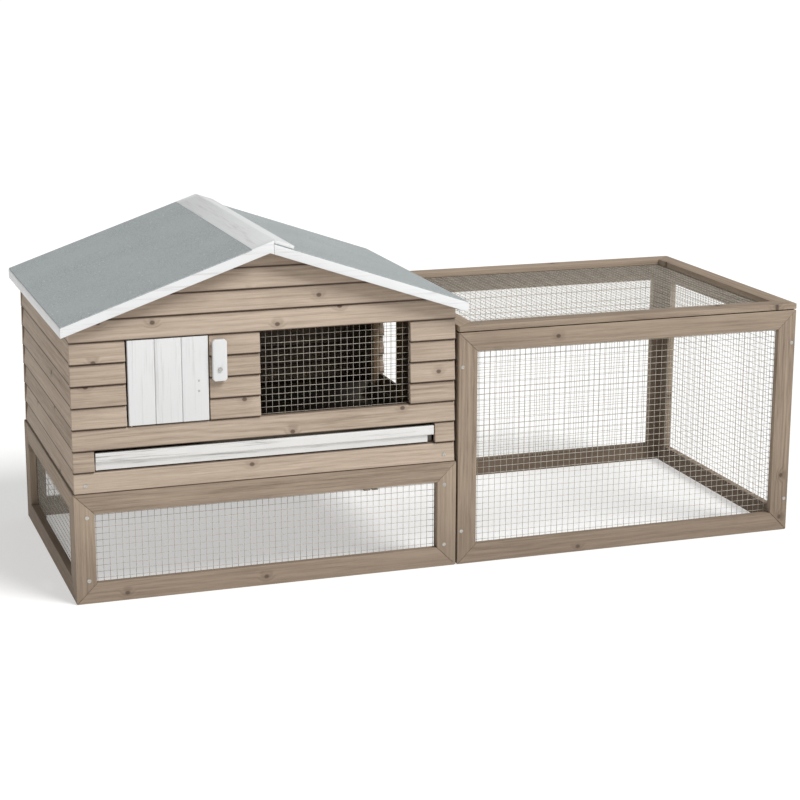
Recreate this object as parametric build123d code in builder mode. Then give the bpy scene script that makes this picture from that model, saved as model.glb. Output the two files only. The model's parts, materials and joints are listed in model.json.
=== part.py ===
from build123d import *
import math
import os

# Rabbit hutch: a two-storey house with a gable roof, and a low wire run beside it.
# Millimetres. X runs along the front from the house to the run, Y to the back, Z up.
# The origin is on the ground, under the middle of the whole object.

# Driving sizes
house_width = 774
house_depth = 615
run_width = 756
run_gap = 4
low_height = 218
run_height = 482
rail_width = 40
rail_thick = 15
lid_thick = 12
lid_gap = 2
side_overhang = 16
end_overhang = 20

# Lapped wall boards, in rows counted up from the low frames
row = 42
board_gap = 0.4
board_proud = 3
board_lean = 4
board_back = 15
board_round = 1.5
row_tray = 1
row_sill = 2
row_door = 3
rows_open = 4
row_eaves = 7
rows_gable = 3

# Front openings, measured from the left end of the house
door_opening = (108.5, 271)
window_opening = (371, 677.5)
tray_slot = (44, 730)

# Wire mesh, at every second wire of a 12.7 mm mesh
mesh_pitch = 25.4
wire = 1.2
mesh_lap = 4.5

# Roof
slope = math.tan(math.radians(19))
roof_top = 687.7
felt_thick = 2
ply_thick = 9
trim_height = 21.2
trim_thick = 14
flap_width = 35
cap_width = 46
cap_thick = 6
roof_clear = 0.5

# Inside
post = 20
floor_top = 262
floor_thick = 9
plank = 86
hole_left = 500
hole_right = 700
hole_front = 438
hole_back = 580
doorway = (296, 449)

# Door, turn button and tray
door_thick = 11
door_face = 3
door_left = 112
door_right = 268.5
door_pivot_x = 118
door_pivot_y = 10
door_pin_r = 1.75
pin_clear = 0.05
button_x = 289
button_z = 445
button_width = 28
button_up = 58
button_down = 23
button_thick = 9
tray_depth = 400
tray_left = 48
tray_right = 726

# Derived places
total_length = side_overhang + house_width + run_gap + run_width
house_left = side_overhang - total_length / 2
house_right = house_left + house_width
run_left = house_right + run_gap
run_right = run_left + run_width
front = -house_depth / 2
back = house_depth / 2
ridge_x = house_left + house_width / 2
half_house = house_width / 2
eave_out = half_house + side_overhang
eave_in = eave_out - trim_thick
felt_rise = felt_thick / math.cos(math.atan(slope))
panel_rise = (felt_thick + ply_thick) / math.cos(math.atan(slope))
wall_end = board_proud

os.makedirs("parts", exist_ok=True)


def save(builder, label):
    """Label a finished piece and write its STEP file."""
    builder.part.label = label
    export_step(builder.part, "parts/" + label + ".step")


def row_foot(index):
    """Height of the lower edge of a wall board row."""
    return low_height + index * row


def roof_z(distance, drop=0):
    """Height of the roof's top surface, less a drop, at a distance from the ridge line."""
    return roof_top - drop - slope * distance


def prism(plane, points, length):
    """Extrude a closed outline, given on a plane, along the plane's normal."""
    with BuildSketch(plane) as outline:
        with BuildLine():
            Polyline(*points, close=True)
        make_face()
    extrude(outline.sketch, amount=length)


def block(x, y, z):
    """A board or batten between two limits on each axis."""
    with Locations(((x[0] + x[1]) / 2, (y[0] + y[1]) / 2, (z[0] + z[1]) / 2)):
        Box(x[1] - x[0], y[1] - y[0], z[1] - z[0])


# Frames and wire panels

def mitred_rails(plane, across, up, thick, bottom_rail=True):
    """Four rails that meet at 45 degrees, with a hairline at each mitre, or three with no bottom rail."""
    u0, u1 = across
    v0, v1 = up
    w = rail_width
    g = board_gap
    foot = v0
    if bottom_rail:
        foot = v0 + w
        prism(plane, [(u0 + g, v0), (u1 - g, v0), (u1 - w - g, foot), (u0 + w + g, foot)], thick)
    prism(plane, [(u0 + g, v1), (u1 - g, v1), (u1 - w - g, v1 - w), (u0 + w + g, v1 - w)], thick)
    prism(plane, [(u0, v0), (u0 + w, foot), (u0 + w, v1 - w), (u0, v1)], thick)
    prism(plane, [(u1, v0), (u1 - w, foot), (u1 - w, v1 - w), (u1, v1)], thick)


def wire_net(plane, across, up):
    """A flat square mesh, one wire thick, centred between its limits."""
    width = across[1] - across[0]
    height = up[1] - up[0]
    with BuildSketch(plane) as net:
        with Locations(((across[0] + across[1]) / 2, (up[0] + up[1]) / 2)):
            with GridLocations(mesh_pitch, 0, int(width / mesh_pitch), 1):
                Rectangle(wire, height)
            with GridLocations(0, mesh_pitch, 1, int(height / mesh_pitch)):
                Rectangle(width, wire)
    extrude(net.sketch, amount=wire)


def xz(y):
    """Plane facing the front at a given depth: its X is X and its Y is Z."""
    return Plane.XZ.offset(-y)


net_reach = rail_width - mesh_lap
house_span = (house_left, house_right)
run_span = (run_left, run_right)
between = (front + rail_thick, back - rail_thick)
low_span = (0, low_height)
run_tall = (0, run_height)


def inset(span, amount):
    return (span[0] + amount, span[1] - amount)


with BuildPart() as low_front_frame:
    mitred_rails(xz(front + rail_thick), house_span, low_span, rail_thick)
save(low_front_frame, "low_front_frame")

with BuildPart() as low_front_mesh:
    wire_net(xz(front + rail_thick + wire), inset(house_span, net_reach), inset(low_span, net_reach))
save(low_front_mesh, "low_front_mesh")

with BuildPart() as low_back_frame:
    mitred_rails(xz(back), house_span, low_span, rail_thick)
save(low_back_frame, "low_back_frame")

with BuildPart() as low_back_mesh:
    wire_net(xz(back - rail_thick), inset(house_span, net_reach), inset(low_span, net_reach))
save(low_back_mesh, "low_back_mesh")

with BuildPart() as left_side_frame:
    mitred_rails(Plane.YZ.offset(house_left), between, low_span, rail_thick)
save(left_side_frame, "left_side_frame")

with BuildPart() as left_side_mesh:
    side = Plane.YZ.offset(house_left + rail_thick)
    wire_net(side, inset(between, net_reach), inset(low_span, net_reach))
save(left_side_mesh, "left_side_mesh")

with BuildPart() as right_side_frame:
    inner_face = Plane.YZ.offset(house_right - rail_thick)
    mitred_rails(inner_face, between, low_span, rail_thick, bottom_rail=False)
save(right_side_frame, "right_side_frame")

with BuildPart() as run_front_frame:
    mitred_rails(xz(front + rail_thick), run_span, run_tall, rail_thick)
save(run_front_frame, "run_front_frame")

with BuildPart() as run_front_mesh:
    wire_net(xz(front + rail_thick + wire), inset(run_span, net_reach), inset(run_tall, net_reach))
save(run_front_mesh, "run_front_mesh")

with BuildPart() as run_back_frame:
    mitred_rails(xz(back), run_span, run_tall, rail_thick)
save(run_back_frame, "run_back_frame")

with BuildPart() as run_back_mesh:
    wire_net(xz(back - rail_thick), inset(run_span, net_reach), inset(run_tall, net_reach))
save(run_back_mesh, "run_back_mesh")

with BuildPart() as run_right_frame:
    mitred_rails(Plane.YZ.offset(run_right - rail_thick), between, run_tall, rail_thick)
save(run_right_frame, "run_right_frame")

with BuildPart() as run_right_mesh:
    side = Plane.YZ.offset(run_right - rail_thick - wire)
    wire_net(side, inset(between, net_reach), inset(run_tall, net_reach))
save(run_right_mesh, "run_right_mesh")

lid_foot = run_height + lid_gap
depth_span = (front, back)
lid_net_inset = 12

with BuildPart() as run_top_frame:
    mitred_rails(Plane.XY.offset(lid_foot), run_span, depth_span, lid_thick)
save(run_top_frame, "run_top_frame")

with BuildPart() as run_top_mesh:
    wire_net(Plane.XY.offset(lid_foot - wire), inset(run_span, lid_net_inset),
             inset(depth_span, lid_net_inset))
save(run_top_mesh, "run_top_mesh")

with BuildPart() as run_end_stiles:
    for y0, y1 in ((between[0], between[0] + rail_width), (between[1] - rail_width, between[1])):
        block((run_left, run_left + rail_thick), (y0, y1), run_tall)
save(run_end_stiles, "run_end_stiles")

# Joining bolts: a bolt, a spacer and a nut at each corner, between house and run
bolt_heights = (60, 160)
bolt_r = 3
spacer_r = 7
nut_r = 5
nut_thick = 5
bolt_in = 32
bolt_ys = (between[0] + bolt_in, between[1] - bolt_in)


def rod(plane, centre, radius, length):
    """A round bar along the plane's normal."""
    with BuildSketch(plane) as end:
        with Locations(centre):
            Circle(radius)
    extrude(end.sketch, amount=length)


with BuildPart() as joining_bolts:
    for y in bolt_ys:
        for z in bolt_heights:
            rod(Plane.YZ.offset(house_right - rail_thick - nut_thick), (y, z), nut_r, nut_thick)
            shank = 2 * rail_thick + run_gap + nut_thick
            rod(Plane.YZ.offset(house_right - rail_thick), (y, z), bolt_r, shank)
            rod(Plane.YZ.offset(house_right), (y, z), spacer_r, run_gap)
            rod(Plane.YZ.offset(run_left + rail_thick), (y, z), nut_r, nut_thick)
save(joining_bolts, "joining_bolts")

# Corner posts of the house, up to just under the roof

post_x = (house_left + rail_thick, house_right - rail_thick - post)
post_y = (front + rail_thick, back - rail_thick - post)
post_clear = 2
post_top = roof_z(half_house - rail_thick, panel_rise) - post_clear

with BuildPart() as corner_posts:
    for x in post_x:
        for y in post_y:
            block((x, x + post), (y, y + post), (0, post_top))
save(corner_posts, "corner_posts")


# Lapped wall boards

def lapped(face, inward, foot, height):
    """Outline of one board: proud at its lower edge, leaning back to its upper edge."""
    def at(depth):
        return face + inward * depth
    low = foot + board_gap / 2
    high = foot + height - board_gap / 2
    lean = board_proud + board_lean
    return [(at(board_proud + board_round), low), (at(board_proud), low + board_round),
            (at(lean), high - 2 * board_round), (at(lean + 2 * board_round), high),
            (at(board_back), high), (at(board_back), low)]


def board_along_x(face, inward, x, foot, height=row):
    prism(Plane.YZ.offset(x[0]), lapped(face, inward, foot, height), x[1] - x[0])


def board_along_y(face, inward, y, foot, height=row):
    prism(xz(y[1]), lapped(face, inward, foot, height), y[1] - y[0])


def from_left(*distances):
    """Places along the house front, given from its left end."""
    return tuple(house_left + d for d in distances)


def under_roof():
    """Keep only what lies under both roof slopes."""
    drop = panel_rise + roof_clear
    tip = (ridge_x, roof_z(0, drop))
    left = (ridge_x - eave_out, roof_z(eave_out, drop))
    right = (ridge_x + eave_out, roof_z(eave_out, drop))
    with BuildSketch(xz(back)) as gable:
        with BuildLine():
            Polyline((left[0], 0), left, tip, right, (right[0], 0), close=True)
        make_face()
    extrude(gable.sketch, amount=house_depth, mode=Mode.INTERSECT)


wall_x = (house_left + wall_end, house_right - wall_end)
by_door = (wall_x[0], house_left + door_opening[0])
middle = from_left(door_opening[1], window_opening[0])
by_window = (house_left + window_opening[1], wall_x[1])
left_block = (wall_x[0], house_left + tray_slot[0])
right_block = (house_left + tray_slot[1], wall_x[1])
opening_rows = range(row_door, row_door + rows_open)

with BuildPart() as front_bottom_board:
    board_along_x(front, 1, wall_x, row_foot(0))
save(front_bottom_board, "front_bottom_board")

with BuildPart() as tray_slot_blocks:
    for span in (left_block, right_block):
        board_along_x(front, 1, span, row_foot(row_tray))
save(tray_slot_blocks, "tray_slot_blocks")

pin_x = house_left + door_pivot_x
pin_y = front + door_pivot_y
pin_bite = 12
door_foot = row_foot(row_door)
door_head = row_foot(row_door + rows_open)

with BuildPart() as window_sill_board:
    board_along_x(front, 1, wall_x, row_foot(row_sill))
    with Locations((pin_x, pin_y, door_foot - pin_bite / 2)):
        Cylinder(door_pin_r, pin_bite, mode=Mode.SUBTRACT)
save(window_sill_board, "window_sill_board")

with BuildPart() as front_boards_by_door:
    for index in opening_rows:
        board_along_x(front, 1, by_door, row_foot(index))
save(front_boards_by_door, "front_boards_by_door")

with BuildPart() as front_boards_middle:
    for index in opening_rows:
        board_along_x(front, 1, middle, row_foot(index))
save(front_boards_middle, "front_boards_middle")

with BuildPart() as front_boards_by_window:
    for index in opening_rows:
        board_along_x(front, 1, by_window, row_foot(index))
save(front_boards_by_window, "front_boards_by_window")

with BuildPart() as front_eaves_board:
    board_along_x(front, 1, wall_x, row_foot(row_eaves))
    under_roof()
    with Locations((pin_x, pin_y, door_head + pin_bite / 2)):
        Cylinder(door_pin_r, pin_bite, mode=Mode.SUBTRACT)
save(front_eaves_board, "front_eaves_board")

with BuildPart() as front_gable_boards:
    for index in range(row_eaves + 1, row_eaves + 1 + rows_gable):
        board_along_x(front, 1, wall_x, row_foot(index))
    under_roof()
save(front_gable_boards, "front_gable_boards")

with BuildPart() as back_wall_boards:
    for index in range(row_eaves + 1):
        board_along_x(back, -1, wall_x, row_foot(index))
    under_roof()
save(back_wall_boards, "back_wall_boards")

with BuildPart() as back_gable_boards:
    for index in range(row_eaves + 1, row_eaves + 1 + rows_gable):
        board_along_x(back, -1, wall_x, row_foot(index))
    under_roof()
save(back_gable_boards, "back_gable_boards")

eaves_clear = 1
side_top = roof_z(half_house - board_proud, panel_rise) - eaves_clear
top_board_z = (row_foot(row_eaves), side_top)


def top_side_board(face, inward):
    """Plain flat board under the eaves, which the roof hinges are screwed to."""
    outer = face + inward * board_proud
    inner = face + inward * board_back
    return (min(outer, inner), max(outer, inner))


with BuildPart() as left_wall_boards:
    for index in range(row_eaves):
        board_along_y(house_left, 1, between, row_foot(index))
    block(top_side_board(house_left, 1), between, top_board_z)
save(left_wall_boards, "left_wall_boards")

doorway_y = (front + doorway[0], front + doorway[1])
doorway_rows = range(row_sill, row_sill + rows_open)

with BuildPart() as right_wall_boards:
    for index in range(row_eaves):
        if index in doorway_rows:
            board_along_y(house_right, -1, (between[0], doorway_y[0]), row_foot(index))
            board_along_y(house_right, -1, (doorway_y[1], between[1]), row_foot(index))
        else:
            board_along_y(house_right, -1, between, row_foot(index))
    block(top_side_board(house_right, -1), between, top_board_z)
save(right_wall_boards, "right_wall_boards")

# Battens that the short boards are nailed to, behind them

batten = 20
batten_thick = 14
batten_foot = row_foot(row_sill) + 2
wide_batten = 26
batten_top = 540
front_battens = (88, 264.5, 341, 687)
batten_widths = (batten, wide_batten, batten, batten)

with BuildPart() as opening_battens:
    for start, width in zip(front_battens, batten_widths):
        behind = (front + board_back, front + board_back + batten_thick)
        block(from_left(start, start + width), behind, (batten_foot, batten_top))
    for y in (doorway_y[0] - batten, doorway_y[1]):
        inside = (house_right - board_back - batten_thick, house_right - board_back)
        block(inside, (y, y + batten), (floor_top + board_gap, batten_top))
save(opening_battens, "opening_battens")

window_lap = 8

with BuildPart() as window_mesh:
    window_up = inset((door_foot, door_head), -window_lap)
    window_across = inset(from_left(*window_opening), -window_lap)
    wire_net(xz(front + board_back + wire), window_across, window_up)
save(window_mesh, "window_mesh")

# Gable battens and ridge beam, which carry the roof

beam_half = 10
beam_deep = 30

with BuildPart() as gable_battens:
    near = beam_half + board_gap
    far = half_house - rail_thick - post - board_gap
    for side in (-1, 1):
        top = panel_rise + roof_clear
        section = [(ridge_x + side * near, roof_z(near, top)), (ridge_x + side * far, roof_z(far, top)),
                   (ridge_x + side * far, roof_z(far, top + batten)),
                   (ridge_x + side * near, roof_z(near, top + batten))]
        for y in (front + board_back + batten_thick, back - board_back):
            prism(xz(y), section, batten_thick)
save(gable_battens, "gable_battens")

with BuildPart() as ridge_beam:
    beam_top = roof_z(beam_half, panel_rise + roof_clear)
    block((ridge_x - beam_half, ridge_x + beam_half), between, (beam_top - beam_deep, beam_top))
save(ridge_beam, "ridge_beam")

# Floor of the upper storey: joists, planks round the ramp hole, and the ramp

joist_deep = 29
joist_foot = floor_top - floor_thick - joist_deep
joist_in = 36
joist_starts = (joist_in, house_width / 2 - post / 2, house_width - joist_in - post)
floor_y = (front + board_back, back - board_back)
floor_x = from_left(board_back + board_gap, house_width - board_back - board_gap)
between_posts = from_left(rail_thick + post + board_gap, house_width - rail_thick - post - board_gap)
hole_x = from_left(hole_left, hole_right)
hole_y = (front + hole_front, front + hole_back)
plank_z = (floor_top - floor_thick, floor_top)

with BuildPart() as floor_joists:
    for start in joist_starts:
        block(from_left(start, start + post), inset(floor_y, board_gap), (joist_foot, plank_z[0]))
save(floor_joists, "floor_joists")


def plank_rows(first, last, count):
    """Limits of equal planks side by side, a hairline apart."""
    pitch = (last - first) / count
    starts = [first + i * pitch for i in range(count)]
    return [(start + board_gap / 2, start + pitch - board_gap / 2) for start in starts]


with BuildPart() as floor_planks:
    inner_y = inset(floor_y, post + board_gap)
    block(between_posts, (floor_y[0] + board_gap, inner_y[0] - board_gap), plank_z)
    block(between_posts, (inner_y[1] + board_gap, floor_y[1] - board_gap), plank_z)
    for span in plank_rows(inner_y[0], hole_y[0], round((hole_y[0] - inner_y[0]) / plank)):
        block(floor_x, span, plank_z)
    for span in plank_rows(hole_y[0], hole_y[1], 2):
        block((floor_x[0], hole_x[0]), span, plank_z)
        block((hole_x[1], floor_x[1]), span, plank_z)
save(floor_planks, "floor_planks")

# The ramp lies raised under the joists and turns down to the ground on two studs near its right end

ramp_length = 430
ramp_width = 110
ramp_thick = 9
ramp_drop = 6.5
ramp_past_stud = 6
stud_from_joist = 10
stud_r = 2
stud_bite = 15
cleat = 6
cleat_pitch = 48
cleat_count = 8
ramp_top = joist_foot - ramp_drop
ramp_middle = ramp_top - ramp_thick / 2
joist_face = house_left + joist_starts[-1]
stud_x = joist_face - stud_from_joist
ramp_x = (stud_x + ramp_past_stud - ramp_length, stud_x + ramp_past_stud)
ramp_y = ((hole_y[0] + hole_y[1] - ramp_width) / 2, (hole_y[0] + hole_y[1] + ramp_width) / 2)

with BuildPart() as ramp_board:
    block(ramp_x, ramp_y, (ramp_top - ramp_thick, ramp_top))
    with BuildSketch(xz(ramp_y[1])) as bore:
        with Locations((stud_x, ramp_middle)):
            Circle(stud_r + pin_clear)
    extrude(bore.sketch, amount=ramp_width, mode=Mode.SUBTRACT)
save(ramp_board, "ramp_board")

with BuildPart() as ramp_cleats:
    for i in range(cleat_count):
        start = ramp_x[0] + cleat + i * cleat_pitch
        block((start, start + cleat), ramp_y, (ramp_top, ramp_top + cleat))
save(ramp_cleats, "ramp_cleats")

lug_gap = 0.6
lug_thick = 2
lug_half = 6
tab_width = 20
tab_z = (joist_foot + 1, joist_foot + 25)

with BuildPart() as ramp_hinge_brackets:
    for side, edge in ((-1, ramp_y[0]), (1, ramp_y[1])):
        near = edge + side * lug_gap
        far = near + side * lug_thick
        tab = near + side * tab_width
        tip = edge - side * stud_bite
        lug_y = (min(near, far), max(near, far))
        block((stud_x - lug_half, joist_face), lug_y, (ramp_middle - lug_half, tab_z[1]))
        block((joist_face - lug_thick, joist_face), (min(near, tab), max(near, tab)), tab_z)
        rod(xz(max(far, tip)), (stud_x, ramp_middle), stud_r, abs(far - tip))
save(ramp_hinge_brackets, "ramp_hinge_brackets")

# Partition between the sleeping room and the day room, with a doorway at the back

partition_x = from_left(304, 313)
partition_top = 500
partition_z = (batten_foot, partition_top)
lintel_foot = 470
pass_y = (front + 440, front + 570)

with BuildPart() as partition_boards:
    block(partition_x, (front + board_back, pass_y[0]), partition_z)
    block(partition_x, (pass_y[1], back - board_back), partition_z)
    block(partition_x, inset(pass_y, board_gap), (lintel_foot, partition_z[1]))
save(partition_boards, "partition_boards")

# Door: three upright boards on two ledges, turning on a pin at its top and bottom edge

door_gap = 1.5
door_z = (door_foot + door_gap, door_head - door_gap)
door_y = (front + door_face, front + door_face + door_thick)
door_boards_count = 3
door_bore = 14
edge_round = 2
ledge_thick = 10
ledge_height = 24
ledge_inset = 18
ledge_end = 14

with BuildPart() as door_boards:
    for x in plank_rows(house_left + door_left, house_left + door_right, door_boards_count):
        block(x, door_y, door_z)
    face_edges = door_boards.edges().filter_by(Axis.Z).group_by(Axis.Y)[0]
    fillet(face_edges, edge_round)
    for z in (door_z[0] + door_bore / 2, door_z[1] - door_bore / 2):
        with Locations((pin_x, pin_y, z)):
            Cylinder(door_pin_r + pin_clear, door_bore, mode=Mode.SUBTRACT)
save(door_boards, "door_boards")

with BuildPart() as door_ledges:
    ledge_x = from_left(door_left + ledge_inset, door_right - ledge_end)
    ledge_y = (door_y[1], door_y[1] + ledge_thick)
    for z in (door_z[0] + ledge_height, door_z[1] - 2 * ledge_height):
        block(ledge_x, ledge_y, (z, z + ledge_height))
save(door_ledges, "door_ledges")

with BuildPart() as door_pins:
    pin_length = pin_bite + door_bore
    pin_short = 4
    for z in (door_foot + door_gap / 2 + 1, door_head - door_gap / 2 - 1):
        with Locations((pin_x, pin_y, z)):
            Cylinder(door_pin_r, pin_length - pin_short)
save(door_pins, "door_pins")

nail_r = 2.2
nail_proud = 0.3
nail_length = 14
door_nail_x = house_left + 249
door_nail_z = (404, 424)

with BuildPart() as door_nails:
    for z in door_nail_z:
        rod(xz(door_y[0]), (door_nail_x, z), nail_r, nail_proud)
        rod(xz(door_y[0] + nail_length), (door_nail_x, z), nail_r / 3, nail_length)
save(door_nails, "door_nails")

# Turn button, with cut corners, on one screw

button_back = front + board_proud - roof_clear
button_cut = 4
button_chamfer = 1
screw_r = 2
head_r = 4.2
head_thick = 2
turn_gap = 0.3
screw_short = 2
turn_x = house_left + button_x

with BuildPart() as turn_button:
    half = button_width / 2
    with BuildSketch(xz(button_back)) as plate:
        with Locations((turn_x, button_z + (button_up - button_down) / 2)):
            Rectangle(button_width, button_up + button_down)
        chamfer(plate.vertices(), button_cut)
        with Locations((turn_x, button_z)):
            Circle(screw_r + pin_clear, mode=Mode.SUBTRACT)
    extrude(plate.sketch, amount=button_thick)
    chamfer(turn_button.faces().sort_by(Axis.Y)[0].outer_wire().edges(), button_chamfer)
save(turn_button, "turn_button")

with BuildPart() as turn_button_screw:
    screw_end = front + board_back + batten_thick - screw_short
    button_face = button_back - button_thick
    rod(xz(screw_end), (turn_x, button_z), screw_r, screw_end - button_face + turn_gap)
    rod(xz(button_face - turn_gap), (turn_x, button_z), head_r, head_thick)
save(turn_button_screw, "turn_button_screw")

# Pull-out tray: a white front board with a stepped lip, and a shallow pan behind it

tray_foot = floor_top + roof_clear
lip_foot = 277
lip_top = 296
lip_face = front + 4
step_face = lip_face + 4
tray_board_back = front + 16
step_right = 715
sheet = 1.5
pan_top = 294

tray_front_left = 46
tray_front_right = 727

with BuildPart() as tray_front:
    block(from_left(tray_front_left, tray_front_right), (lip_face, tray_board_back), (lip_foot, lip_top))
    block(from_left(tray_front_left, step_right), (step_face, tray_board_back), (tray_foot, lip_foot))
    lip_edges = tray_front.edges().filter_by(Axis.X).group_by(Axis.Y)[0]
    fillet(lip_edges, edge_round)
save(tray_front, "tray_front")

with BuildPart() as tray_pan:
    pan_x = from_left(tray_left, tray_right)
    pan_y = (tray_board_back, tray_board_back + tray_depth)
    hollow = (tray_foot + sheet, pan_top)
    block(pan_x, pan_y, (tray_foot, pan_top))
    with Locations((sum(pan_x) / 2, sum(pan_y) / 2, sum(hollow) / 2)):
        Box(pan_x[1] - pan_x[0] - 2 * sheet, tray_depth - 2 * sheet, hollow[1] - hollow[0],
            mode=Mode.SUBTRACT)
save(tray_pan, "tray_pan")

# Roof halves. The left half carries the ridge boards and swings on hinges at its eave.

verge_y = (front - end_overhang, back + end_overhang)
panel_y = inset(verge_y, trim_thick + board_gap)
felt_back = 1
felt_y = inset(verge_y, felt_back)
split_half = 0.5
lap_clear = 0.3


def slope_band(side, near, far, top, bottom):
    """Outline between two drops below the roof surface, from near the ridge to the eave."""
    return [(ridge_x + side * near, roof_z(near, top)), (ridge_x + side * far, roof_z(far, top)),
            (ridge_x + side * far, roof_z(far, bottom)), (ridge_x + side * near, roof_z(near, bottom))]


def roof_slab(side, near, far, top, bottom, y):
    prism(xz(y[1]), slope_band(side, near, far, top, bottom), y[1] - y[0])


def eave_trim(side):
    """Board along the eave, its top following the slope and its foot level."""
    foot = roof_z(eave_out, trim_height)
    near = eave_in + board_gap
    section = [(ridge_x + side * near, roof_z(near, felt_rise)),
               (ridge_x + side * eave_out, roof_z(eave_out, felt_rise)),
               (ridge_x + side * eave_out, foot), (ridge_x + side * near, foot)]
    prism(xz(panel_y[1]), section, panel_y[1] - panel_y[0])


verge_ends = ((verge_y[0], verge_y[0] + trim_thick), (verge_y[1] - trim_thick, verge_y[1]))
unit_x = math.sin(math.atan(slope))
unit_z = math.cos(math.atan(slope))
cap_under = roof_top + lap_clear
cap_over = cap_under + cap_thick / unit_z
crest = (cap_over - roof_top) / (2 * slope)
crest_point = (ridge_x + crest, roof_top + slope * crest)
crest_foot = (crest_point[0] - cap_thick * unit_x, crest_point[1] - cap_thick * unit_z)
right_start = crest_foot[0] - ridge_x + split_half


def ridge_outline(far, drop):
    """Left ridge section: flush with the left slope, and reaching just over the ridge line."""
    return [(ridge_x - far, roof_z(far)), crest_point, crest_foot,
            (crest_foot[0], roof_z(crest_foot[0] - ridge_x, drop)), (ridge_x, roof_z(0, drop)),
            (ridge_x - far, roof_z(far, drop))]


with BuildPart() as left_roof_panel:
    roof_slab(-1, flap_width + board_gap, eave_in, felt_rise, panel_rise, panel_y)
save(left_roof_panel, "left_roof_panel")

with BuildPart() as left_roof_felt:
    roof_slab(-1, flap_width + board_gap, eave_out - felt_back, 0, felt_rise, felt_y)
save(left_roof_felt, "left_roof_felt")

with BuildPart() as left_roof_trim:
    eave_trim(-1)
    for y in verge_ends:
        roof_slab(-1, flap_width + board_gap, eave_out, felt_rise, trim_height, y)
        prism(xz(y[1]), ridge_outline(flap_width + board_gap, trim_height), trim_thick)
save(left_roof_trim, "left_roof_trim")

with BuildPart() as ridge_boards:
    prism(xz(panel_y[1]), ridge_outline(flap_width, panel_rise), panel_y[1] - panel_y[0])
    right_end = ridge_x + cap_width
    fall = slope * cap_width
    cap = [(crest_foot[0] + board_gap, crest_foot[1] - board_gap * slope), (right_end, cap_under - fall),
           (right_end + cap_thick * unit_x, cap_under - fall + cap_thick * unit_z),
           (crest_point[0] + board_gap, crest_point[1] - board_gap * slope)]
    prism(xz(verge_y[1]), cap, verge_y[1] - verge_y[0])
save(ridge_boards, "ridge_boards")

with BuildPart() as right_roof_panel:
    roof_slab(1, right_start, eave_in, felt_rise, panel_rise, panel_y)
save(right_roof_panel, "right_roof_panel")

with BuildPart() as right_roof_felt:
    roof_slab(1, right_start, eave_out - felt_back, 0, felt_rise, felt_y)
save(right_roof_felt, "right_roof_felt")

with BuildPart() as right_roof_trim:
    eave_trim(1)
    for y in verge_ends:
        roof_slab(1, right_start, eave_out, felt_rise, trim_height, y)
save(right_roof_trim, "right_roof_trim")

# Two butt hinges in the gap between the left wall and the eave trim

trim_inner = ridge_x - eave_in - board_gap
wall_outer = house_left + board_proud
hinge_x = (trim_inner + wall_outer) / 2
hinge_z = roof_z(eave_out, trim_height)
knuckle_r = 2.5
hinge_pin_r = 1.5
leaf_thick = 1.2
hinge_length = 60
knuckle_gap = 0.4
hinge_in = 120
leaf_foot = hinge_z + knuckle_r + 1
leaf_top = hinge_z + 13
hinge_ys = (front + hinge_in, back - hinge_in - hinge_length)
knuckle = (hinge_length - 2 * knuckle_gap) / 3


def knuckle_tube(y0, length):
    """One knuckle of a hinge, with the pin's clearance through it."""
    with BuildSketch(xz(y0 + length)) as ring:
        with Locations((hinge_x, hinge_z)):
            Circle(knuckle_r)
            Circle(hinge_pin_r + pin_clear, mode=Mode.SUBTRACT)
    extrude(ring.sketch, amount=length)


def leaf_tab(x, y0, length):
    """Strip of leaf from beside the knuckle's centre up to the leaf."""
    block(x, (y0, y0 + length), (hinge_z + hinge_pin_r + pin_clear, leaf_foot))


wall_leaf_x = (wall_outer - leaf_thick, wall_outer)
roof_leaf_x = (trim_inner, trim_inner + leaf_thick)

with BuildPart() as roof_hinge_wall_leaves:
    for start in hinge_ys:
        block(wall_leaf_x, (start, start + hinge_length), (leaf_foot, leaf_top))
        for y0 in (start, start + 2 * (knuckle + knuckle_gap)):
            knuckle_tube(y0, knuckle)
            leaf_tab(wall_leaf_x, y0, knuckle)
save(roof_hinge_wall_leaves, "roof_hinge_wall_leaves")

with BuildPart() as roof_hinge_roof_leaves:
    for start in hinge_ys:
        block(roof_leaf_x, (start, start + hinge_length), (leaf_foot, leaf_top))
        knuckle_tube(start + knuckle + knuckle_gap, knuckle)
        leaf_tab(roof_leaf_x, start + knuckle + knuckle_gap, knuckle)
save(roof_hinge_roof_leaves, "roof_hinge_roof_leaves")

with BuildPart() as roof_hinge_pins:
    for start in hinge_ys:
        rod(xz(start + hinge_length), (hinge_x, hinge_z), hinge_pin_r, hinge_length)
save(roof_hinge_pins, "roof_hinge_pins")

# Countersunk screws that hold the frames to the posts and to each other

head_proud = 0.5
panel_head_r = 3.8
panel_screw_r = 1.8
panel_screw = 26
screw_in = 25
screw_up = 46
row_screw_y = front + board_proud + 1
row_screw_up = 16
run_screw_in = 8
run_screw_up = 70


def front_screw(x, y, z):
    rod(xz(y), (x, z), panel_head_r, head_proud)
    rod(xz(y + panel_screw), (x, z), panel_screw_r, panel_screw)


with BuildPart() as panel_screws:
    for x in from_left(screw_in, house_width - screw_in):
        for z in (screw_up, low_height - screw_up):
            front_screw(x, front, z)
        front_screw(x, row_screw_y, row_foot(0) + row_screw_up)
    for x in (run_left + run_screw_in, run_right - run_screw_in):
        for z in (run_screw_up, run_height - run_screw_up):
            front_screw(x, front, z)
save(panel_screws, "panel_screws")

lid_screw_in = 46
lid_screw = 24

with BuildPart() as lid_screws:
    lid_top = lid_foot + lid_thick
    for x in inset(run_span, lid_screw_in):
        for y in inset(depth_span, board_back / 2):
            rod(Plane.XY.offset(lid_top), (x, y), panel_head_r, head_proud)
            rod(Plane.XY.offset(lid_top - lid_screw), (x, y), panel_screw_r, lid_screw)
save(lid_screws, "lid_screws")
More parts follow.
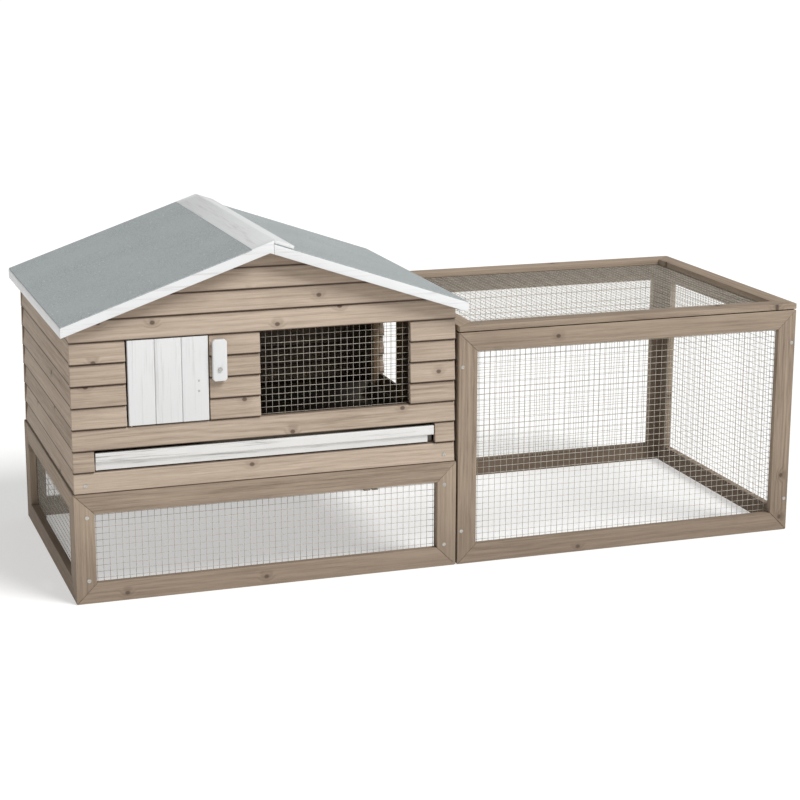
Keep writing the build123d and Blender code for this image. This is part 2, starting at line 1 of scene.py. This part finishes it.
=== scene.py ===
"""Rabbit hutch: stained boards, white trim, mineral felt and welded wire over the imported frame."""
import json
import math
import random

import bmesh
import bpy
from mathutils import Euler, Matrix, Vector, noise


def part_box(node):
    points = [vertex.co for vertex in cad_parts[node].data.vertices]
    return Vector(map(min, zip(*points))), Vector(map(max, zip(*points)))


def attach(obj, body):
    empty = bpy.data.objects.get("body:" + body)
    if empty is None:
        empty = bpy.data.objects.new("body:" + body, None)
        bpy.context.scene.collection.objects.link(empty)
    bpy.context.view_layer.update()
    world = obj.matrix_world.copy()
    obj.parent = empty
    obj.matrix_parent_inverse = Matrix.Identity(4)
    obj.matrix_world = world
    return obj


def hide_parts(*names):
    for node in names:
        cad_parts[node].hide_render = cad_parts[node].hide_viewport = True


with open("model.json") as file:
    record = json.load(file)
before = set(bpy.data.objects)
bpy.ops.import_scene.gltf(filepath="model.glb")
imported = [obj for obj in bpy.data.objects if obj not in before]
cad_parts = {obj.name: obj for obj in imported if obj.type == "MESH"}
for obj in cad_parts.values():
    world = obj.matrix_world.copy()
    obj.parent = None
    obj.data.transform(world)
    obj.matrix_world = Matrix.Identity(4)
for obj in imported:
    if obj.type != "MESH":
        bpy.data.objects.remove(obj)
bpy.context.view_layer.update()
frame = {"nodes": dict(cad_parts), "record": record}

MM = 0.001
WIRE_PITCH = 12.7 * MM
WIRE_RADIUS = 0.46 * MM
WIRE_SIDES = 6
SAME_POINT = 1e-6
FELT_STEP = 12 * MM
BODIES = frame["record"]["behaviour"]["bodies"]
BODY_OF = {node: body for body, nodes in BODIES.items() for node in nodes}


# Shader maths

class Tone:
    """One output of a shader node, with Python's arithmetic on it."""

    def __init__(self, finish, output):
        self.finish = finish
        self.output = output

    def sum(self, operation, first, second=0.0):
        return self.finish.add("ShaderNodeMath", {"operation": operation}, {0: first, 1: second})

    def __add__(self, other):
        return self.sum("ADD", self, other)

    def __sub__(self, other):
        return self.sum("SUBTRACT", self, other)

    def __rsub__(self, other):
        return self.sum("SUBTRACT", other, self)

    def __mul__(self, other):
        return self.sum("MULTIPLY", self, other)

    __radd__ = __add__
    __rmul__ = __mul__

    def sine(self):
        return self.sum("SINE", self)

    def larger(self, other):
        return self.sum("MAXIMUM", self, other)

    def absolute(self):
        return self.sum("ABSOLUTE", self)


class Finish:
    """One material, built node by node."""

    def __init__(self, name):
        self.material = bpy.data.materials.new(name)
        self.material.use_nodes = True
        self.tree = self.material.node_tree
        self.tree.nodes.clear()

    def add(self, kind, settings=None, values=None, out=0):
        """Make a node: its settings first, then values or links for its sockets. Gives back one output."""
        node = self.tree.nodes.new(kind)
        for key, value in (settings or {}).items():
            if key == "stops":
                self.set_stops(node, value)
            else:
                setattr(node, key, value)
        for socket, value in (values or {}).items():
            if isinstance(value, Tone):
                self.tree.links.new(value.output, node.inputs[socket])
            else:
                node.inputs[socket].default_value = value
        return Tone(self, node.outputs[out])

    def set_stops(self, node, stops):
        """Put colours along a ramp."""
        elements = node.color_ramp.elements
        while len(elements) < len(stops):
            elements.new(0.5)
        for element, (place, colour) in zip(elements, stops):
            element.position = place
            element.color = colour

    def ramp(self, factor, *stops):
        return self.add("ShaderNodeValToRGB", {"stops": stops}, {"Fac": factor})

    def rise(self, value, start, end):
        """Smooth step of a value between two limits."""
        settings = {"interpolation_type": "SMOOTHSTEP"}
        places = {"Value": value, "From Min": start, "From Max": end}
        return self.add("ShaderNodeMapRange", settings, places)

    def mix(self, factor, first, second):
        """Blend of two colours. The colour mix's own sockets are numbers 6 and 7, and its output is 2."""
        return self.add("ShaderNodeMix", {"data_type": "RGBA"}, {0: factor, 6: first, 7: second}, out=2)

    def stretch(self, vector, scale):
        return self.add("ShaderNodeVectorMath", {"operation": "MULTIPLY"}, {0: vector, 1: scale})

    def noise(self, vector, scale, detail=4.0, rough=0.55):
        values = {"Vector": vector, "Scale": scale, "Detail": detail, "Roughness": rough}
        return self.add("ShaderNodeTexNoise", None, values)

    def cells(self, vector, scale, out="Distance", flat=False):
        settings = {"feature": "F1", "voronoi_dimensions": "2D" if flat else "3D"}
        return self.add("ShaderNodeTexVoronoi", settings, {"Vector": vector, "Scale": scale}, out=out)

    def parts(self, vector):
        """The three numbers of a vector."""
        return [self.add("ShaderNodeSeparateXYZ", None, {0: vector}, out=axis) for axis in range(3)]

    def first_of_colour(self, colour):
        """The red of a random colour, as one random number for each cell."""
        return self.add("ShaderNodeSeparateColor", None, {0: colour})

    def place(self):
        """Where a point of the surface is."""
        return self.add("ShaderNodeNewGeometry", out="Position")

    def attribute(self, name, out="Vector"):
        settings = {"attribute_type": "GEOMETRY", "attribute_name": name}
        return self.add("ShaderNodeAttribute", settings, out=out)

    def bump(self, height, distance, strength):
        values = {"Height": height, "Distance": distance, "Strength": strength}
        return self.add("ShaderNodeBump", None, values)

    def surface(self, **values):
        """End in one surface shader."""
        named = {key.replace("_", " ").title(): value for key, value in values.items()}
        shader = self.add("ShaderNodeBsdfPrincipled", None, named, out="BSDF")
        output = self.tree.nodes.new("ShaderNodeOutputMaterial")
        self.tree.links.new(shader.output, output.inputs["Surface"])
        return self.material


def colour(red, green, blue):
    """A colour given as it looks, 0 to 255, turned into linear light."""
    def linear(value):
        value = value / 255
        return value / 12.92 if value <= 0.04045 else ((value + 0.055) / 1.055) ** 2.4
    return (linear(red), linear(green), linear(blue), 1.0)


# Finishes

def stained_pine(name, pale, deep, knot, knots=1.0, ground_darkening=0.0):
    """Sawn pine: fine fibres, rings that swing round the odd knot, and a tone for each board."""
    f = Finish(name)
    grain = f.attribute("grain")
    board = f.attribute("board", out="Fac")
    inside = f.attribute("inside", out="Fac")
    lap = f.attribute("lap", out="Fac")
    along, across, through = f.parts(grain)
    knot_field = f.stretch(grain, (8.0, 10.0, 0.0))
    knot_pick = f.first_of_colour(f.cells(knot_field, 1.0, out="Color", flat=True))
    knot_near = f.cells(knot_field, 1.0, flat=True) + (1.0 - f.rise(knot_pick, 0.58, 0.60))
    eye = f.rise(knot_near, 0.052 * knots, 0.026 * knots)
    halo = f.rise(knot_near, 0.17 * knots, 0.04 * knots)
    drift = f.noise(f.stretch(grain, (2.2, 13.0, 13.0)), 1.0, detail=3.0)
    swing = f.noise(f.stretch(grain, (7.0, 45.0, 45.0)), 1.0, detail=2.0)
    rings = (across * 520.0 + through * 260.0 + drift * 26.0 + swing * 5.0 + halo * 7.0).sine() * 0.5 + 0.5
    ring_show = f.rise(f.noise(f.stretch(grain, (1.6, 9.0, 9.0)), 1.0, detail=2.0), 0.35, 0.65)
    fibre = f.noise(f.stretch(grain, (26.0, 900.0, 900.0)), 1.0, detail=5.0, rough=0.7)
    streak = f.noise(f.stretch(grain, (5.0, 290.0, 290.0)), 1.0, detail=5.0, rough=0.65)
    band = f.noise(f.stretch(grain, (3.0, 55.0, 55.0)), 1.0, detail=3.0)
    cloud = f.noise(f.stretch(grain, (7.0, 14.0, 14.0)), 1.0, detail=3.0)
    shade = (rings - 0.5) * ring_show * 0.20 + (fibre - 0.5) * 0.85 + (streak - 0.5) * 0.95
    shade = shade + (band - 0.5) * 0.42 + (cloud - 0.5) * 0.30 + (board - 0.5) * 0.20
    wood = f.ramp(shade + 0.58, (0.10, deep), (0.52, mid(pale, deep, 0.62)), (0.86, pale))
    wood = f.mix(halo * 0.32, wood, deep)
    wood = f.mix(eye * 0.75, wood, knot)
    check = f.rise(streak + fibre * 0.25, 0.80, 0.88)
    wood = f.mix(check * 0.35, wood, mid(deep, knot, 0.5))
    # Painted shade along the top and bottom edge of each board, standing in for the shadow under each lap.
    lap_shade = f.rise((lap - 0.5).absolute(), 0.435, 0.475)
    wood = f.mix(lap_shade * 0.85, wood, mid(deep, knot, 0.25))
    # Painted shade: faces that look into the hutch are darkened, standing in for the shade inside it.
    wood = f.mix(inside * 0.62, wood, mid(deep, knot, 0.35))
    above_ground = f.parts(f.place())[2]
    # Darker towards the ground, by the given share.
    wood = f.mix(f.rise(above_ground, 0.19, 0.0) * ground_darkening, wood, mid(deep, knot, 0.5))
    height = fibre * 0.55 + rings * ring_show * 0.2 + streak * 0.55 - eye * 0.5 - check * 0.6
    normal = f.bump(height, 0.0006, 0.7)
    rough = 0.72 + fibre * 0.20 - eye * 0.18
    return f.surface(base_color=wood, roughness=rough, normal=normal)


def mid(first, second, share):
    """A colour part of the way from the second to the first."""
    return tuple(a * share + b * (1 - share) for a, b in zip(first, second))


def white_paint(name, white, shade, grain_shows=1.0):
    """White paint brushed on pine: the fibres show through, with rubbed spots and faint grey strokes."""
    f = Finish(name)
    grain = f.attribute("grain")
    board = f.attribute("board", out="Fac")
    fibre = f.noise(f.stretch(grain, (14.0, 480.0, 480.0)), 1.0, detail=5.0, rough=0.6)
    stroke = f.noise(f.stretch(grain, (5.0, 90.0, 90.0)), 1.0, detail=4.0)
    cloud = f.noise(grain, 14.0, detail=4.0)
    thin = f.rise(stroke * 0.6 + fibre * 0.5, 0.56, 0.78) * grain_shows
    paint = f.mix(thin, white, shade)
    paint = f.mix((cloud - 0.42).larger(0.0) * 0.55, paint, mid(white, shade, 0.35))
    specks = f.rise(f.cells(f.stretch(grain, (60.0, 150.0, 150.0)), 1.0), 0.10, 0.04)
    pick = f.rise(f.noise(grain, 55.0), 0.60, 0.66)
    paint = f.mix(specks * pick * 0.5, paint, colour(150, 142, 130))
    paint = f.mix((board - 0.5).absolute() * 0.12, paint, shade)
    height = fibre * 0.6 + stroke * 0.5
    normal = f.bump(height, 0.0004, 0.55 * grain_shows + 0.1)
    return f.surface(base_color=paint, roughness=0.42 + fibre * 0.2, normal=normal)


def mineral_felt(name):
    """Roofing felt: grey-green mineral grit pressed into bitumen, with a few pale flakes."""
    f = Finish(name)
    place = f.place()
    grit = f.first_of_colour(f.cells(place, 900.0, out="Color"))
    size = f.cells(place, 900.0)
    grit_colour = f.ramp(grit, (0.0, colour(140, 147, 148)), (0.5, colour(170, 176, 177)),
                         (1.0, colour(194, 198, 198)))
    patch = f.noise(place, 7.0, detail=5.0, rough=0.6)
    felt = f.mix(f.rise(patch, 0.35, 0.7) * 0.6, grit_colour, colour(178, 184, 185))
    flake_place = f.cells(place, 95.0)
    flake_pick = f.first_of_colour(f.cells(place, 95.0, out="Color"))
    flakes = f.rise(flake_place, 0.20, 0.10) * f.rise(flake_pick, 0.86, 0.90)
    felt = f.mix(flakes * 0.8, felt, colour(222, 225, 223))
    fine = f.noise(place, 1300.0, detail=2.0)
    height = (0.5 - size) * 0.9 + fine * 0.4 + grit * 0.5 + flakes * 0.8
    normal = f.bump(height, 0.0006, 0.85)
    return f.surface(base_color=felt, roughness=0.80 + fine * 0.18, normal=normal)


def metal(name, bright, dull, roughness, shine, scale):
    """Zinc on steel: soft crystal patches and a dull bloom."""
    f = Finish(name)
    place = f.place()
    spangle = f.first_of_colour(f.cells(place, scale, out="Color"))
    bloom = f.noise(place, scale * 0.35, detail=5.0)
    tint = f.mix(spangle * 0.5 + bloom * 0.5, dull, bright)
    normal = f.bump(bloom * 0.6 + spangle * 0.3, 0.00012, 0.6)
    return f.surface(base_color=tint, roughness=roughness + bloom * 0.22, metallic=shine, normal=normal)


def shaded_tray_sheet_finish(name):
    """Thin galvanised sheet with scuffs and patches, coloured dark grey-brown as painted shade for the
    unlit tray inside the hutch.
    """
    f = Finish(name)
    place = f.place()
    scuff = f.noise(f.stretch(place, (30.0, 240.0, 30.0)), 1.0, detail=5.0)
    patch = f.noise(place, 16.0, detail=4.0)
    # Painted shade: the coat is kept dark grey-brown because the tray lies in the hutch's shade.
    coat = f.mix(f.rise(scuff, 0.58, 0.74) * 0.5, colour(104, 97, 88), colour(70, 62, 53))
    coat = f.mix(patch * 0.3, coat, colour(84, 76, 66))
    return f.surface(base_color=coat, roughness=0.34 + patch * 0.25, normal=f.bump(scuff, 0.0002, 0.4))


PALE, DEEP, KNOT = colour(190, 172, 154), colour(126, 108, 92), colour(58, 41, 30)
FRAME_PALE, FRAME_DEEP = colour(168, 150, 131), colour(106, 90, 75)
FLOOR_PALE, FLOOR_DEEP = colour(96, 78, 60), colour(56, 43, 32)
FINISHES = {
    "weathered_pine": stained_pine("weathered_pine", PALE, DEEP, KNOT),
    "frame_pine": stained_pine("frame_pine", FRAME_PALE, FRAME_DEEP, KNOT, ground_darkening=0.36),
    "inner_pine": stained_pine("inner_pine", colour(150, 126, 98), colour(98, 76, 54), KNOT),
    "floor_pine": stained_pine("floor_pine", FLOOR_PALE, FLOOR_DEEP, colour(30, 20, 14)),
    "roof_ply": stained_pine("roof_ply", colour(190, 164, 126), colour(146, 118, 84), KNOT, knots=0.6),
    "white_paint": white_paint("white_paint", colour(230, 231, 231), colour(202, 201, 199)),
    "door_paint": white_paint("door_paint", colour(219, 219, 219), colour(196, 195, 193)),
    "worn_white": white_paint("worn_white", colour(222, 221, 219), colour(158, 156, 152), grain_shows=1.5),
    "mineral_felt": mineral_felt("mineral_felt"),
    "galvanised_wire": metal("galvanised_wire", colour(206, 200, 188), colour(150, 143, 131),
                             roughness=0.42, shine=0.55, scale=300.0),
    "zinc_steel": metal("zinc_steel", colour(214, 212, 206), colour(150, 148, 142),
                        roughness=0.30, shine=0.85, scale=420.0),
    "tray_sheet_painted_shade": shaded_tray_sheet_finish("tray_sheet_painted_shade"),
}


# Boards and rails

def solids_of(mesh_object):
    """Vertex groups of a CAD node, one list of vertices for each separate solid."""
    shape = bmesh.new()
    shape.from_mesh(mesh_object.data)
    bmesh.ops.remove_doubles(shape, verts=shape.verts, dist=SAME_POINT)
    flat = math.radians(1)
    bmesh.ops.dissolve_limit(shape, angle_limit=flat, verts=shape.verts, edges=shape.edges)
    shape.verts.layers.float_vector.new("grain")
    for layer in ("board", "inside", "lap"):
        shape.verts.layers.float.new(layer)
    unseen = set(shape.verts)
    groups = []
    while unseen:
        queue = [unseen.pop()]
        group = []
        while queue:
            vertex = queue.pop()
            group.append(vertex)
            for edge in vertex.link_edges:
                other = edge.other_vert(vertex)
                if other in unseen:
                    unseen.remove(other)
                    queue.append(other)
        groups.append(group)
    groups.sort(key=lambda group: tuple(round(min(v.co[i] for v in group), 5) for i in range(3)))
    return shape, groups


def limits(group):
    """Lowest and highest corner of a group of vertices."""
    low = Vector([min(v.co[i] for v in group) for i in range(3)])
    high = Vector([max(v.co[i] for v in group) for i in range(3)])
    return low, high


def grain_axes(size, along):
    """Directions along, across and through a board, from its size or from a stated direction."""
    if along is None:
        order = sorted(range(3), key=lambda i: -size[i])
        return [Vector([1.0 if i == axis else 0.0 for i in range(3)]) for axis in order]
    first = Vector(along).normalized()
    second = first.cross(Vector((0, 1, 0)))
    if second.length < 0.1:
        second = first.cross(Vector((0, 0, 1)))
    second.normalize()
    return [first, second, first.cross(second)]


def soft_edges(shape, width):
    """Round over every sharp edge of planed timber."""
    sharp = math.radians(25)
    edges = [e for e in shape.edges if len(e.link_faces) == 2 and e.calc_face_angle() > sharp]
    bmesh.ops.bevel(shape, geom=edges, offset=width, offset_type="OFFSET", segments=2, profile=0.6,
                    affect="EDGES", clamp_overlap=True)


def timber(node, finish, edge=1.0 * MM, along=None, lap_shade_spread=0.0, inside=()):
    """A CAD node's boards as planed wood: rounded edges, grain along each board, a tone for each board,
    and the faces that get painted shade.
    """
    chance = random.Random(node)
    shape, groups = solids_of(frame["nodes"][node])
    grain_layer = shape.verts.layers.float_vector["grain"]
    board_layer = shape.verts.layers.float["board"]
    lap_layer = shape.verts.layers.float["lap"]
    for group in groups:
        low, high = limits(group)
        axes = grain_axes(high - low, along)
        start = Vector([chance.uniform(-40, 40) for _ in range(3)])
        tone = chance.random()
        for vertex in group:
            offset = vertex.co - low
            vertex[grain_layer] = start + Vector([offset.dot(axis) for axis in axes])
            vertex[board_layer] = tone
            vertex[lap_layer] = 0.5 + (offset.z / max(high.z - low.z, MM) - 0.5) * lap_shade_spread
    soft_edges(shape, edge)
    mesh = bpy.data.meshes.new(node + "_planed")
    shape.to_mesh(mesh)
    shape.free()
    mark_painted_inner_shade(mesh, [Vector(way) for way in inside])
    piece = bpy.data.objects.new(node + "_planed", mesh)
    bpy.context.scene.collection.objects.link(piece)
    for polygon in mesh.polygons:
        polygon.use_smooth = True
    mesh.set_sharp_from_angle(angle=math.radians(40))
    dress(piece, finish, BODY_OF[node])
    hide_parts(node)
    return piece


def mark_painted_inner_shade(mesh, ways):
    """Say on each face whether it looks into the hutch, where the wood gets painted shade."""
    mesh.attributes.remove(mesh.attributes["inside"])
    layer = mesh.attributes.new("inside", "FLOAT", "FACE")
    for polygon in mesh.polygons:
        gets_inner_shade = any(polygon.normal.dot(way) > 0.7 for way in ways)
        layer.data[polygon.index].value = 1.0 if gets_inner_shade else 0.0


def dress(piece, finish, body):
    """Give a piece its material and the body it moves with."""
    piece.data.materials.clear()
    piece.data.materials.append(FINISHES[finish])
    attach(piece, body)


FRONT_WAY, BACK_WAY, LEFT_WAY, RIGHT_WAY = (0, -1, 0), (0, 1, 0), (-1, 0, 0), (1, 0, 0)
ALL_WAYS = (FRONT_WAY, BACK_WAY, LEFT_WAY, RIGHT_WAY, (0, 0, 1), (0, 0, -1))
# The faces of these walls that look into the hutch get painted shade.
WALLS_GETTING_INNER_SHADE = {
    "front_bottom_board": BACK_WAY, "window_sill_board": BACK_WAY, "front_eaves_board": BACK_WAY,
    "front_gable_boards": BACK_WAY, "tray_slot_blocks": BACK_WAY, "front_boards_by_door": BACK_WAY,
    "front_boards_middle": BACK_WAY, "front_boards_by_window": BACK_WAY, "back_wall_boards": FRONT_WAY,
    "back_gable_boards": FRONT_WAY, "left_wall_boards": RIGHT_WAY, "right_wall_boards": LEFT_WAY,
}
SHORT_ROWS = ("tray_slot_blocks", "front_boards_by_door", "front_boards_middle", "front_boards_by_window")
# The faces of these frames that look into the hutch get painted shade.
FRAMES_GETTING_INNER_SHADE = {
    "low_front_frame": (BACK_WAY,), "low_back_frame": (FRONT_WAY,), "left_side_frame": (RIGHT_WAY,),
    "right_side_frame": (LEFT_WAY, RIGHT_WAY), "run_front_frame": (BACK_WAY,),
    "run_back_frame": (FRONT_WAY,), "run_right_frame": (LEFT_WAY,), "run_top_frame": ((0, 0, -1),),
    "run_end_stiles": (RIGHT_WAY, FRONT_WAY, BACK_WAY), "corner_posts": ALL_WAYS,
}
INNER = ("opening_battens", "ridge_beam", "floor_joists", "gable_battens", "ramp_board", "ramp_cleats",
         "partition_boards", "door_ledges")


def build_timber():
    for node, way in WALLS_GETTING_INNER_SHADE.items():
        along = (1, 0, 0) if node in SHORT_ROWS else None
        # Side walls get a wider band of painted shade at the laps.
        lap_shade_spread = 1.13 if node in ("left_wall_boards", "right_wall_boards") else 1.0
        timber(node, "weathered_pine", 0.9 * MM, along, lap_shade_spread, (way,))
    for node, ways in FRAMES_GETTING_INNER_SHADE.items():
        timber(node, "frame_pine", edge=1.3 * MM, inside=ways)
    for node in INNER:
        timber(node, "inner_pine", edge=0.8 * MM)
    timber("floor_planks", "floor_pine", edge=0.8 * MM)
    for node in ("left_roof_panel", "right_roof_panel"):
        timber(node, "roof_ply", edge=0.4 * MM, along=(0, 1, 0))
    timber("door_boards", "door_paint", edge=1.6 * MM, along=(0, 0, 1))
    timber("turn_button", "door_paint", edge=0.6 * MM, along=(0, 0, 1))
    timber("ridge_boards", "white_paint", edge=0.8 * MM, along=(0, 1, 0))
    for node in ("left_roof_trim", "right_roof_trim"):
        timber(node, "white_paint", edge=0.8 * MM)
    timber("tray_front", "worn_white", edge=0.5 * MM, along=(1, 0, 0))


# Welded wire

def tube(points, radius):
    """Vertices and faces of a wire along a list of points, closed at both ends."""
    vertices = []
    faces = []
    direction = (points[-1] - points[0]).normalized()
    side = direction.cross(Vector((0.31, 0.52, 0.80))).normalized()
    up = direction.cross(side)
    sides = WIRE_SIDES
    for point in points:
        for step in range(sides):
            turn = 2 * math.pi * step / sides
            vertices.append(point + (side * math.cos(turn) + up * math.sin(turn)) * radius)
    for ring in range(len(points) - 1):
        for step in range(sides):
            a = ring * sides + step
            b = ring * sides + (step + 1) % sides
            faces.append((a, b, b + sides, a + sides))
    faces.append(tuple(reversed(range(sides))))
    faces.append(tuple(range((len(points) - 1) * sides, len(points) * sides)))
    return vertices, faces


def spread(low, high):
    """Places of the wires between two limits, one pitch apart and centred."""
    count = int((high - low) / WIRE_PITCH)
    first = (low + high) / 2 - (count - 1) * WIRE_PITCH / 2
    return [first + index * WIRE_PITCH for index in range(count)]


def wire_mesh(node, outward):
    """Welded mesh in place of a CAD mesh: one layer of wires each way, touching where they cross."""
    chance = random.Random(node)
    low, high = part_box(node)
    thin = min(range(3), key=lambda axis: high[axis] - low[axis])
    ways = [axis for axis in range(3) if axis != thin]
    middle = (low[thin] + high[thin]) / 2
    vertices = []
    faces = []
    for layer, (run, step) in enumerate((ways, ways[::-1])):
        level = middle + outward * (0.5 - layer) * 1.5 * WIRE_RADIUS
        reach = high[run] - low[run]
        bends = max(3, round(reach / (3 * WIRE_PITCH)))
        for place in spread(low[step], high[step]):
            phase = Vector((chance.uniform(-50, 50), chance.uniform(-50, 50), 0))
            points = []
            for bend in range(bends + 1):
                point = Vector((0, 0, 0))
                point[run] = low[run] + reach * bend / bends
                wander = noise.noise(phase + Vector((point[run] * 9, 0, 0)))
                point[step] = place + wander * 0.45 * MM
                point[thin] = level + noise.noise(phase * 2 + Vector((point[run] * 6, 4, 0))) * 0.12 * MM
                points.append(point)
            wire_vertices, wire_faces = tube(points, WIRE_RADIUS)
            start = len(vertices)
            vertices += wire_vertices
            faces += [tuple(start + index for index in face) for face in wire_faces]
    mesh = bpy.data.meshes.new(node + "_wires")
    mesh.from_pydata([tuple(v) for v in vertices], [], faces)
    for polygon in mesh.polygons:
        polygon.use_smooth = len(polygon.vertices) == 4
    piece = bpy.data.objects.new(node + "_wires", mesh)
    bpy.context.scene.collection.objects.link(piece)
    dress(piece, "galvanised_wire", BODY_OF[node])
    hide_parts(node)


def build_wire():
    for node, outward in (("low_front_mesh", -1), ("low_back_mesh", 1), ("left_side_mesh", -1),
                          ("run_front_mesh", -1), ("run_back_mesh", 1), ("run_right_mesh", 1),
                          ("run_top_mesh", 1), ("window_mesh", -1)):
        wire_mesh(node, outward)


# Roofing felt

def felt_sheet(node):
    """Felt over a roof half, with its slight waves and turned edges."""
    source = frame["nodes"][node]
    shape = bmesh.new()
    shape.from_mesh(source.data)
    bmesh.ops.remove_doubles(shape, verts=shape.verts, dist=SAME_POINT)
    bmesh.ops.dissolve_limit(shape, angle_limit=math.radians(1), verts=shape.verts, edges=shape.edges)
    low, high = limits(list(shape.verts))
    step = FELT_STEP
    for axis in (0, 1):
        normal = Vector((1, 0, 0)) if axis == 0 else Vector((0, 1, 0))
        place = low[axis] + step
        while place < high[axis] - step / 2:
            point = Vector((place if axis == 0 else 0, place if axis == 1 else 0, 0))
            everything = list(shape.verts) + list(shape.edges) + list(shape.faces)
            bmesh.ops.bisect_plane(shape, geom=everything, plane_co=point, plane_no=normal)
            place += step
    shape.normal_update()
    for vertex in shape.verts:
        inside = all(low[a] + 2 * MM < vertex.co[a] < high[a] - 2 * MM for a in (0, 1))
        if inside and vertex.normal.z > 0.5:
            wave = noise.noise(Vector((vertex.co.x * 14, vertex.co.y * 7, 0)))
            ripple = noise.noise(Vector((vertex.co.x * 45, vertex.co.y * 45, 3)))
            vertex.co.z -= 0.45 * MM + 0.45 * MM * wave + 0.18 * MM * ripple
    mesh = bpy.data.meshes.new(node + "_grit")
    shape.to_mesh(mesh)
    shape.free()
    for polygon in mesh.polygons:
        polygon.use_smooth = True
    mesh.set_sharp_from_angle(angle=math.radians(40))
    piece = bpy.data.objects.new(node + "_grit", mesh)
    bpy.context.scene.collection.objects.link(piece)
    dress(piece, "mineral_felt", BODY_OF[node])
    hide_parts(node)


# Screws, bolts and hinges keep their CAD shapes

def cad_finishes():
    """Materials for the CAD nodes that stay in view."""
    kept = {"tray_pan": "tray_sheet_painted_shade", "panel_screws": "zinc_steel", "lid_screws": "zinc_steel",
            "joining_bolts": "zinc_steel", "door_nails": "zinc_steel", "turn_button_screw": "zinc_steel",
            "door_pins": "zinc_steel", "roof_hinge_wall_leaves": "zinc_steel",
            "roof_hinge_roof_leaves": "zinc_steel", "roof_hinge_pins": "zinc_steel",
            "ramp_hinge_brackets": "zinc_steel"}
    for node, finish in kept.items():
        slots = frame["nodes"][node].data.materials
        slots.clear()
        slots.append(FINISHES[finish])


# Floor, light and camera

def build_floor():
    f = Finish("studio_floor")
    place = f.place()
    cloud = f.noise(place, 2.0, detail=3.0)
    pale = f.mix(cloud * 0.3, colour(204, 204, 203), colour(198, 198, 197))
    material = f.surface(base_color=pale, roughness=0.9, emission_color=(1.0, 1.0, 1.0, 1.0),
                         emission_strength=0.48)
    bpy.ops.mesh.primitive_plane_add(size=120, location=(0, 20, -0.0005))
    floor = bpy.context.object
    floor.name = "studio_floor"
    floor.data.materials.append(material)


def build_light():
    world = bpy.data.worlds.new("studio_air")
    bpy.context.scene.world = world
    world.use_nodes = True
    background = world.node_tree.nodes["Background"]
    background.inputs["Color"].default_value = (1.0, 1.0, 1.0, 1.0)
    background.inputs["Strength"].default_value = 0.30
    for name, power, angle, tilt, turn in (("key", 2.7, 25, 40, 40), ("fill", 0.15, 60, 60, -50)):
        light = bpy.data.lights.new(name, "SUN")
        light.energy = power
        light.angle = math.radians(angle)
        lamp = bpy.data.objects.new(name, light)
        lamp.rotation_euler = Euler((math.radians(tilt), 0, math.radians(turn)))
        bpy.context.scene.collection.objects.link(lamp)


def build_camera():
    bpy.context.scene.view_settings.view_transform = "Standard"
    camera = bpy.data.cameras.new("camera")
    camera.sensor_width = 36
    camera.lens = 90.51
    camera.clip_end = 200
    stand = bpy.data.objects.new("camera", camera)
    stand.location = (-1.3550, -3.9641, 1.3137)
    pitch, yaw, roll = math.radians(90 - 13.93), math.radians(-18.87), math.radians(0.147)
    aim = Euler((pitch, 0, yaw)).to_matrix() @ Matrix.Rotation(roll, 3, "Z")
    stand.rotation_euler = aim.to_euler()
    bpy.context.scene.collection.objects.link(stand)
    bpy.context.scene.camera = stand


build_timber()
build_wire()
for felt in ("left_roof_felt", "right_roof_felt"):
    felt_sheet(felt)
cad_finishes()
build_floor()
build_light()
build_camera()
